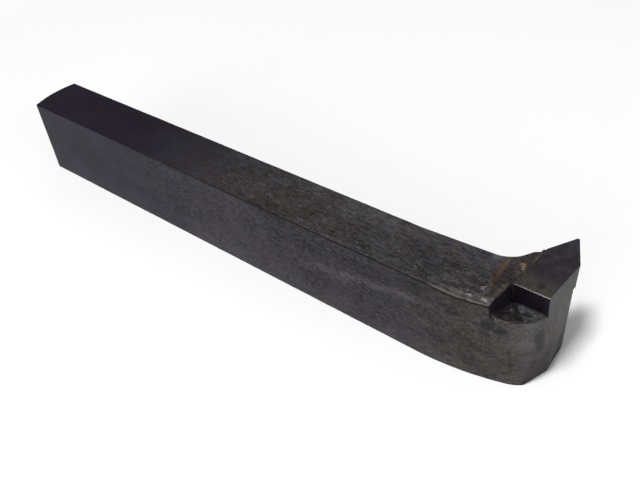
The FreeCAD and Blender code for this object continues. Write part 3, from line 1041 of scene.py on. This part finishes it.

# %% [markdown]
# ## Forged steel
#
# Forging leaves a thin black oxide that scratches to grey. So the colour is a dark grey that two sizes of
# noise make patchy, with fine streaks drawn out along the shank. Part of it is painted light: the top is
# painted darker than the sides as painted shade, the bar is painted darker towards its back end as a painted
# sheen, and the sides are painted lighter near the floor. The stored marks then lay their own colours over
# it: bare metal on edges and on the bevel, with a painted highlight along the top's outer edge, worn bright
# spots with painted glints on the top, straw and brown in the ground hollow, a ground face at the front that
# is lighter partly as ground steel and partly as painted light and darker low down as painted shade, painted
# shade on the ground faces of the foot, and soot where the flame licked the side.

# %% Forged steel finish
def forged_steel():
    steel = Finish(bpy.data.materials.new("forged_steel"))
    along = steel.stretched((2.4, 1, 1))
    broad = steel.noise(8.0, 2)
    mottle = steel.noise(2.4, 3, 0.6, along)
    streaks = steel.noise(0.45, 3, 0.65, along)
    grain = steel.noise(0.24, 2, 0.6)
    hue = steel.noise(0.36, 2, 0.5).above(0.35, 0.65)
    x, y, z = steel.axis("X"), steel.axis("Y"), steel.axis("Z")
    top, line, edge_light, bevel = steel.marks("top", "line", "edge_light", "bevel")
    hollow, hollow_wall, hollow_rim = steel.marks("hollow", "hollow_wall", "hollow_rim")
    front, foot, seat_wall, sawn = steel.marks("front", "foot", "seat_wall", "sawn")
    soot, scraped, shiny, flux = steel.marks("soot", "scraped", "shiny", "flux")

    # Painted sheen: the steel is painted darker towards its back end and lighter towards the head. This
    # stands in for a reflection that falls off along the bar.
    painted_sheen_to_head = x.above(-22, 26)
    heated = x.above(46, 62)
    scaly = ((1 - top) * 24 + x).above(-2, 20)
    tone = uneven(1.0, (broad, 0.9), (mottle, scaly * 0.7 + 0.7),
                  (streaks, scaly * 2.1 + 0.7), (grain, scaly * 1.9 + 0.7))
    patches = streaks * 0.5 + mottle * 0.5

    band_start, band_height, band_rise = 29, 7.7, 0.165
    off_band = (z - (x - band_start) * band_rise - band_height).maths("ABSOLUTE")
    rubbed = (1 - off_band.above(0.3, 1.5)) * x.above(24, 34)
    rubbed = rubbed * (1 - x.above(52, 58)) * (1 - top) * (1 - y.above(-3, 0))
    smooth_band = z.above(10.0, 12.5) * x.above(16, 24) * (1 - x.above(44, 54)) * (1 - top)
    # Painted light: the sides are painted lighter near the floor, for the light that the floor throws up at
    # them.
    low = (1 - z.above(0.0, 5.5)) * (1 - top)
    gripped = x.above(-6, 0) * (1 - x.above(10, 18))
    side_tone = tone + rubbed * patches.above(0.36, 0.60) * 0.85 + low * 0.35
    side_tone = side_tone + gripped * 0.12 - smooth_band * 0.22
    side = steel.blend(painted_sheen_to_head, (0.031, 0.030, 0.042), (0.043, 0.042, 0.050))
    side = steel.blend(heated * hue.maths("MULTIPLY_ADD", 0.6, 0.4), side, (0.0530, 0.0485, 0.0435))
    side = steel.tint(1.0, side, side_tone)

    # The top is painted much darker than the sides: painted shade for the dark reflection that the top shows.
    crown = steel.blend(painted_sheen_to_head, (0.0105, 0.0078, 0.0165), (0.033, 0.033, 0.035))
    near_brown = (1 - (y + (broad - 0.5) * 12).above(-3.5, 3.5)) * x.above(-5, 14) * (1 - x.above(36, 44))
    crown = steel.blend(near_brown * 0.35, crown, (0.034, 0.029, 0.025))
    crown = steel.tint(1.0, crown, tone + y.above(-0.5, 4.0) * x.above(8, 28) * 0.22)
    rusty = (1 - mottle).above(0.50, 0.60) * grain.above(0.45, 0.58) * (1 - x.above(32, 44))
    rust = steel.blend(painted_sheen_to_head, (0.024, 0.0095, 0.0115), (0.050, 0.029, 0.024))
    crown = steel.blend(rusty * 0.42, crown, rust)
    # Worn outer edge of the top, lightened also as a painted highlight.
    crown = steel.blend(edge_light * 0.85, crown, steel.tint(1.0, (0.080, 0.077, 0.068), tone))
    colour = steel.blend(top, side, crown)
    tinge = steel.blend(hue, (1.12, 1.04, 0.80), (0.94, 0.92, 1.14))
    colour = steel.tint(scaly, colour, tinge)
    colour = steel.blend(streaks.above(0.58, 0.70) * scaly * 0.35, colour, (0.11, 0.108, 0.105))
    colour = steel.blend((1 - streaks).above(0.58, 0.70) * scaly * 0.35, colour, (0.014, 0.012, 0.015))

    # The ground front face is lighter than the forged sides partly as ground steel and partly as painted
    # light. It is painted darker low down as painted shade.
    ground = steel.blend(z.above(3.5, 9.5), (0.0616, 0.060, 0.060), (0.090, 0.088, 0.088))
    ground = steel.tint(1.0, ground, uneven(1.04, (mottle, 1.4), (grain, 1.4), (streaks, 1.0)))
    ground = steel.tint((1 - z.above(8.0, 12.0)) * 0.8, ground, tinge)
    colour = steel.blend(front, colour, ground)
    # Painted shade on the ground faces of the foot.
    colour = steel.blend(foot * 0.9, colour, steel.tint(1.0, (0.027, 0.0235, 0.025), tone))

    saw_lines = steel.noise(0.4, 2, 0.5, steel.stretched((1, 14, 1), (math.radians(12), 0, 0)))
    cut_end = steel.tint(1.0, (0.042, 0.041, 0.046), uneven(1.0, (saw_lines, 1.4), (broad, 0.8)))
    colour = steel.blend(sawn, colour, cut_end)

    worn = steel.tint(1.0, (0.060, 0.058, 0.053), tone)
    bare = bevel * edge_light
    flakes = steel.noise(1.5, 2, 0.5).above(0.55, 0.63) * bevel
    colour = steel.blend(bevel * 0.85, colour, worn)
    colour = steel.blend(flakes * 0.5, colour, (0.13, 0.128, 0.12))
    # Painted glints on the worn bright spots of the top.
    glints = (streaks * 0.5 + grain * 0.5 + 0.1).above(0.5, 0.62)
    colour = steel.blend(shiny * glints, colour, (0.21, 0.208, 0.195))
    colour = steel.blend(bare * patches.above(0.40, 0.52) * 0.9, colour, (0.15, 0.138, 0.115))

    dull = steel.tint(1.0, (0.0290, 0.0245, 0.0250), tone)
    colour = steel.blend(hollow, colour, dull)
    straw = steel.tint(1.0, (0.074, 0.050, 0.034), uneven(0.96, (mottle, 2.2), (streaks, 1.4)))
    colour = steel.blend(hollow_wall * 0.92, colour, straw)
    colour = steel.blend(hollow_rim * (streaks + 0.15).above(0.45, 0.75), colour, (0.068, 0.057, 0.035))

    colour = steel.blend(scraped, colour, steel.tint(1.0, (0.078, 0.080, 0.086), tone))
    colour = steel.blend(soot * 0.9, colour, steel.tint(1.0, (0.0175, 0.017, 0.020), tone))
    colour = steel.blend(flux * grain.above(0.40, 0.60) * 0.75, colour, (0.105, 0.106, 0.062))
    colour = steel.blend(line * (streaks + 0.35).above(0.50, 0.72) * 0.93, colour, (0.006, 0.005, 0.007))
    colour = steel.blend(seat_wall, colour, steel.tint(1.0, (0.0065, 0.0045, 0.0105), tone))

    rough = uneven(0.62, (grain, 0.3)) - bare * 0.2 - front * 0.06
    relief = steel.bump(mottle, 0.05, steel.bump(streaks, 0.05, steel.bump(grain, 0.02)))
    relief = steel.bump(saw_lines * sawn, 0.04, relief)
    return steel.surface(Base_Color=colour, Metallic=bare * 0.3, Roughness=rough, Specular_IOR_Level=0.12,
                         Normal=relief)


# %% [markdown]
# ## Hard metal
#
# Hard metal is greyer and greener than steel, and the brazing heat leaves cloudy patches on its ground top.
# Its flanks show fine grinding lines. The small bevel on the square end is polished, and a painted highlight
# on it grows brighter towards the front.

# %% Hard-metal finish
def hard_metal():
    plate = Finish(bpy.data.materials.new("hard_metal"))
    clouds = plate.noise(1.8, 3, 0.55, twist=0.6)
    grain = plate.noise(0.28, 3, 0.6)
    hue = plate.noise(0.5, 2, 0.5).above(0.35, 0.65)
    lines = plate.noise(0.35, 2, 0.5, plate.stretched((1, 7, 1), (0, 0, math.radians(30))))
    top, edge, end_break, square_end, stain = plate.marks("top", "edge", "end_break", "square_end", "stain")
    x, y = plate.axis("X"), plate.axis("Y")
    wander = y + (clouds - 0.5) * 5
    crown = plate.blend(wander.above(3.2, 5.6), (0.0375, 0.0350, 0.0320), (0.0240, 0.0220, 0.0270))
    crown = plate.blend(wander.above(8.0, 10.0), crown, (0.024, 0.022, 0.026))
    crown = plate.blend(y.above(11.5, 14.0), crown, (0.031, 0.030, 0.041))
    crown = plate.tint(1.0, crown, uneven(1.06, (clouds, 1.8), (grain, 1.8)))
    crown = plate.tint(0.9, crown, plate.blend(hue, (1.04, 1.0, 0.84), (0.97, 0.96, 1.12)))
    side = plate.blend(lines.above(0.35, 0.65), (0.069, 0.067, 0.068), (0.087, 0.084, 0.082))
    side = plate.tint(1.0, side, uneven(1.0, (clouds, 0.4), (grain, 0.7)))
    colour = plate.blend(top, side, crown)
    colour = plate.blend(stain * 0.85, colour, (0.016, 0.0105, 0.017))
    colour = plate.blend(edge * (grain + 0.1).above(0.45, 0.70) * 0.15, colour, (0.11, 0.11, 0.10))
    colour = plate.blend(square_end * (1 - end_break), colour, (0.0065, 0.0045, 0.0100))
    # Painted highlight on the polished bevel of the square end, brighter towards the front.
    polish_and_highlight = plate.blend(x.above(66, 71), (0.19, 0.18, 0.16), (0.36, 0.355, 0.32))
    colour = plate.blend(end_break * (grain + 0.2).above(0.45, 0.70), colour, polish_and_highlight)
    rough = uneven(0.52, (grain, 0.25)) - end_break * 0.1
    relief = plate.bump(lines, 0.012, plate.bump(grain, 0.012))
    return plate.surface(Base_Color=colour, Metallic=0.1, Roughness=rough, Specular_IOR_Level=0.15,
                         Normal=relief)


# %% [markdown]
# ## Copper, soot and flux
#
# The brazing metal could be one copper colour, but little of it is clean. It is copper-red where it was
# rubbed, brass-yellow along the thin seam and black-brown under leftover flux.

# %% Brazing metal finish
def brazing():
    metal = Finish(bpy.data.materials.new("brazing_metal"))
    crust = metal.noise(0.7, 4, 0.6)
    grain = metal.noise(0.28, 3, 0.6)
    patches = metal.noise(1.6, 2, 0.5)
    copper, olive, brass, gap = metal.marks("copper", "olive", "brass", "gap")
    clean, rim, corner, ball = metal.marks("clean", "rim", "corner", "ball")
    sooty = metal.ramp(crust, [(0.35, (0.006, 0.005, 0.007)), (0.52, (0.013, 0.012, 0.013)),
                               (0.68, (0.030, 0.026, 0.023))])
    grey = metal.ramp(crust, [(0.35, (0.026, 0.026, 0.028)), (0.52, (0.050, 0.050, 0.052)),
                              (0.68, (0.092, 0.092, 0.091))])
    colour = metal.blend(clean * patches.above(0.36, 0.52), sooty, grey)
    specks = rim * (1 - metal.axis("X").above(67.4, 68.4)) * grain.above(0.48, 0.58)
    colour = metal.blend(specks * 0.9, colour, (0.17, 0.14, 0.115))
    colour = metal.blend(rim * metal.axis("X").above(67.8, 69.0) * 0.9, colour, (0.019, 0.0105, 0.012))
    colour = metal.blend(ball * 0.85, colour, (0.040, 0.031, 0.044))
    colour = metal.blend(corner, colour, (0.008, 0.006, 0.010))
    burnt = metal.blend(crust.above(0.38, 0.62), (0.016, 0.013, 0.016), (0.036, 0.028, 0.027))
    colour = metal.blend(gap, colour, burnt)
    colour = metal.blend(olive * crust.above(0.36, 0.5) * 0.85, colour, (0.072, 0.057, 0.034))
    red = metal.ramp(grain, [(0.35, (0.050, 0.030, 0.027)), (0.48, (0.165, 0.100, 0.060)),
                             (0.60, (0.420, 0.270, 0.165))])
    colour = metal.blend(copper, colour, red)
    yellow = metal.blend(crust.above(0.35, 0.65), (0.115, 0.100, 0.070), (0.21, 0.185, 0.125))
    colour = metal.blend(brass * 0.9, colour, yellow)
    relief = metal.bump(crust, 0.07, metal.bump(grain, 0.035))
    rough = uneven(0.52, (grain, 0.3))
    return metal.surface(Base_Color=colour, Metallic=copper * 0.25, Roughness=rough, Specular_IOR_Level=0.2,
                         Normal=relief)


# %% Put the three pieces on the frame
def finished_piece(mesh, material, node):
    """Shows a mesh as a piece of the tool: smooth-shaded, riding on the frame in place of its plain solid."""
    mesh.polygons.foreach_set("use_smooth", np.ones(len(mesh.polygons), bool))
    mesh.materials.append(material)
    piece = bpy.data.objects.new(mesh.name, mesh)
    bpy.context.scene.collection.objects.link(piece)
    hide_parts(node)
    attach(piece, "root")
    return piece


finished_piece(holder_mesh, forged_steel(), "holder")
finished_piece(tip_mesh, hard_metal(), "carbide_tip")
finished_piece(braze_mesh, brazing(), "braze_filler")

# %% [markdown]
# ## Camera
#
# The photograph was taken from close by, from above the point and off to the near side, with the camera
# tipped a little. Its place, its three angles and its lens were worked out from the tool's straight edges.

# %% Camera
def direction(turn, height):
    """Unit vector at a compass turn and a height in degrees: turn 0 is the near side, 90 the front."""
    turn, height = math.radians(turn), math.radians(height)
    return Vector((math.sin(turn) * math.cos(height), -math.cos(turn) * math.cos(height), math.sin(height)))


camera_place = Vector((114.817, -75.975, 101.505)) * MM
camera_roll = math.radians(-10.573)
back = direction(48.515, 38.956)
level = (-back).cross(Vector((0, 0, 1))).normalized()
upright = level.cross(-back)
right = level * math.cos(camera_roll) + upright * math.sin(camera_roll)
up = upright * math.cos(camera_roll) - level * math.sin(camera_roll)
camera_data = bpy.data.cameras.new("camera")
camera_data.sensor_width = 36.0
camera_data.lens = 49.19
camera_data.clip_start = 0.005
camera_data.clip_end = 10.0
camera = bpy.data.objects.new("camera", camera_data)
camera.matrix_world = Matrix.Translation(camera_place) @ Matrix((right, up, back)).transposed().to_4x4()
bpy.context.scene.collection.objects.link(camera)
bpy.context.scene.camera = camera

# %% [markdown]
# ## Floor and light
#
# The tool lies on a plain white floor. Strong lamps could make the floor white, but they would bleach the
# steel too. So the floor's colour is pale only where the camera or a reflection looks at it, and greyer for
# the light that it throws back. Far from the tool it shows plain white. One soft box above gives the shadow,
# and two low ones fill the sides.

# %% Floor
floor_half = 3.0
floor_drop = 0.02
white_from, white_to = 0.12, 0.40
floor_mesh = bpy.data.meshes.new("floor")
floor_mesh.from_pydata([(-floor_half, -floor_half, 0), (floor_half, -floor_half, 0),
                        (floor_half, floor_half, 0), (-floor_half, floor_half, 0)], [], [(0, 1, 2, 3)])
floor_mesh.transform(Matrix.Translation((0, 0, -floor_drop * MM)))
floor = bpy.data.objects.new("floor", floor_mesh)
bpy.context.scene.collection.objects.link(floor)
plain = Finish(bpy.data.materials.new("floor"))
seen = plain.node("ShaderNodeLightPath", output="Is Camera Ray")
mirrored = plain.node("ShaderNodeLightPath", output="Is Glossy Ray")
shown = seen.larger(mirrored)
floor_colour = plain.blend(shown, (0.45, 0.45, 0.45), (0.93, 0.93, 0.93))
away = plain.node("ShaderNodeVectorMath", {"operation": "LENGTH"}, {0: plain.place}, "Value")
floor_glow = plain.blend(shown * away.above(white_from, white_to), (0, 0, 0), (1, 1, 1))
floor_mesh.materials.append(plain.surface(Base_Color=floor_colour, Roughness=0.9, Specular_IOR_Level=0.0,
                                          Emission_Color=floor_glow, Emission_Strength=1.0))

# %% World and lamps
world = bpy.data.worlds.new("studio")
bpy.context.scene.world = world
sky = Finish(world)
sky_seen = sky.node("ShaderNodeLightPath", output="Is Camera Ray")
dim, white = (sky.node("ShaderNodeBackground", None, {"Color": (1, 1, 1, 1), "Strength": strength})
              for strength in (0.25, 1.0))
either = sky.node("ShaderNodeMixShader", None, {0: sky_seen, 1: dim, 2: white})
sky.node("ShaderNodeOutputWorld", None, {"Surface": either})
middle = (cad_low + cad_high) / 2


def lamp(name, turn, height, away, size, share):
    """A square soft box at a compass turn and height, in degrees. Share is the light that it gives a face
    turned to it, where 1 shows a colour as written: power is share times (pi times distance) squared."""
    towards = direction(turn, height)
    data = bpy.data.lights.new(name, "AREA")
    data.size = size
    data.energy = share * (math.pi * away) ** 2
    light = bpy.data.objects.new(name, data)
    light.matrix_world = (Matrix.Translation(middle + towards * away)
                          @ (-towards).to_track_quat("-Z", "Y").to_matrix().to_4x4())
    bpy.context.scene.collection.objects.link(light)
    return light


lamp("overhead", 8, 77, 0.9, 0.20, 0.78)
lamp("near_side", 5, 12, 1.0, 0.7, 0.33)
lamp("front_side", 85, 12, 1.0, 0.7, 0.32)
bpy.context.scene.view_settings.view_transform = "Standard"

# %% Sizes for the record
print("cad", [round(v / MM, 3) for v in (*cad_low, *cad_high)])
